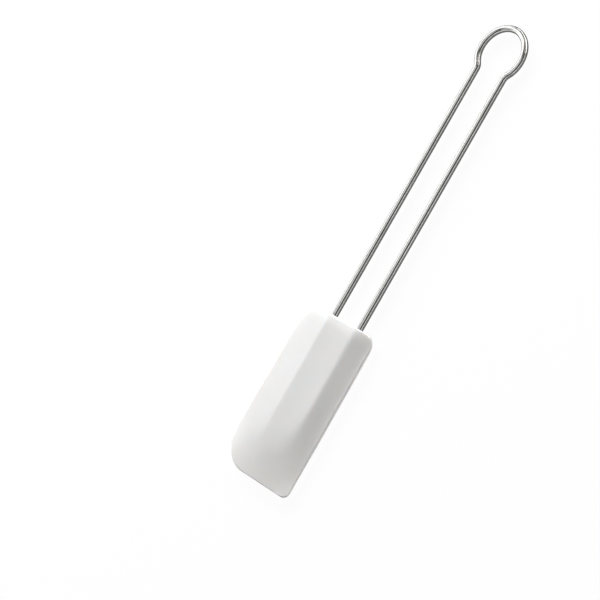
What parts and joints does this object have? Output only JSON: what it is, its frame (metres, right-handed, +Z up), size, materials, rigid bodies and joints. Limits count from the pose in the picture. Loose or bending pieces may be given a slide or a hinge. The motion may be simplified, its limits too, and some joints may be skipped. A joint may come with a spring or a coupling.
{
  "type": "silicone dough scraper",
  "caption": "White silicone dough scraper: flexible head with a flat spine, bevelled sides and one large rounded corner, moulded on a bent steel wire handle that ends in a hanging ring",
  "frame": {"origin": "bottom centre of the whole object as it lies flat, on the plane of the lower spine facet", "axes": "+X runs along the handle from the head towards the hanging ring, +Y points to the side with the large rounded tip corner, +Z is up, out of the upper spine facet"},
  "size_m": [0.26, 0.052, 0.006],
  "materials": {
    "silicone": "satin white food-grade silicone, slightly translucent",
    "stainless_wire": "drawn and polished stainless steel wire",
    "core_steel": "plain rolled stainless strip, hidden inside the head"
  },
  "bodies": {
    "root": {"silicone_head": "silicone", "wire_handle": "stainless_wire", "core_plate": "core_steel"}
  },
  "joints": []
}
